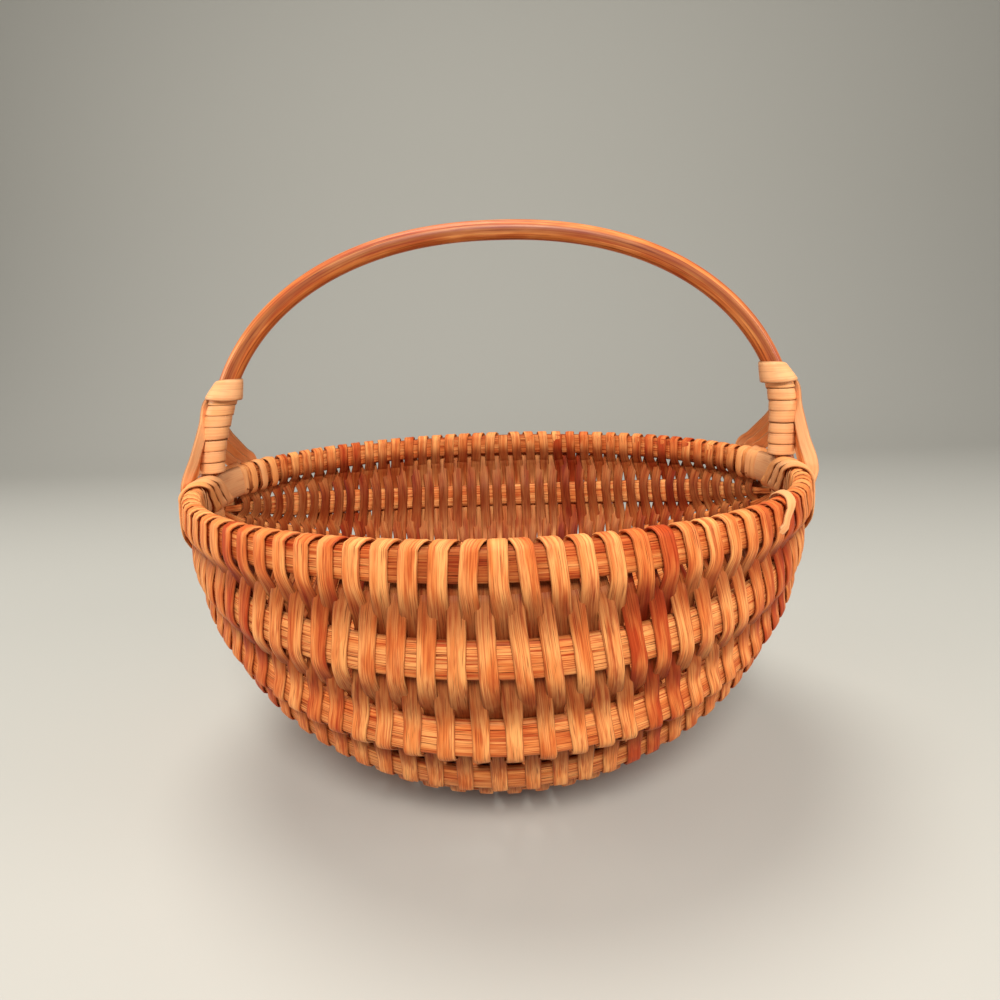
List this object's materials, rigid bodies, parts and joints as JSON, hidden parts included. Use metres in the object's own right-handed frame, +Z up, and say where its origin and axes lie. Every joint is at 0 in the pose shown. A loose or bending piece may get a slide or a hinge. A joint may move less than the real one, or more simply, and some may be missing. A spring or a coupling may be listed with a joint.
{
  "type": "nantucket basket",
  "caption": "Round woven rattan basket on flat oval ribs, with a fixed bow handle lashed to the rim at both ears, for carrying and storing things in its bowl.",
  "frame": {"origin": "on the surface that the basket stands on, under the middle of the bowl", "axes": "+X from the left ear to the right ear as the handle's plane runs, -Y the side that faces the viewer in the source view, +Z up"},
  "size_m": [0.2938, 0.2764, 0.2491],
  "materials": {
    "rim_rod": "stained rattan, satin",
    "handle_rod": "stained rattan, smooth and satin",
    "rib_rod": "stained rattan, satin",
    "weaver_splint": "stained rattan splint, matte",
    "lashing_splint": "stained rattan splint, matte"
  },
  "bodies": {
    "root": {"rim_hoop": "rim_rod", "handle_bow": "handle_rod", "rib_front_1": "rib_rod", "rib_front_2": "rib_rod", "rib_front_3": "rib_rod", "rib_front_4": "rib_rod", "rib_front_5": "rib_rod", "rib_keel": "rib_rod", "rib_back_5": "rib_rod", "rib_back_4": "rib_rod", "rib_back_3": "rib_rod", "rib_back_2": "rib_rod", "rib_back_1": "rib_rod", "weaver_01": "weaver_splint", "weaver_02": "weaver_splint", "weaver_03": "weaver_splint", "weaver_04": "weaver_splint", "weaver_05": "weaver_splint", "weaver_06": "weaver_splint", "weaver_07": "weaver_splint", "weaver_08": "weaver_splint", "weaver_09": "weaver_splint", "weaver_10": "weaver_splint", "weaver_11": "weaver_splint", "weaver_12": "weaver_splint", "weaver_13": "weaver_splint", "weaver_14": "weaver_splint", "weaver_15": "weaver_splint", "weaver_16": "weaver_splint", "weaver_17": "weaver_splint", "weaver_18": "weaver_splint", "weaver_19": "weaver_splint", "weaver_20": "weaver_splint", "left_post_wrap": "lashing_splint", "left_front_rim_wrap": "lashing_splint", "left_back_rim_wrap": "lashing_splint", "left_keel_wrap": "lashing_splint", "left_ear_web": "lashing_splint", "right_post_wrap": "lashing_splint", "right_front_rim_wrap": "lashing_splint", "right_back_rim_wrap": "lashing_splint", "right_keel_wrap": "lashing_splint", "right_ear_web": "lashing_splint"}
  },
  "joints": []
}
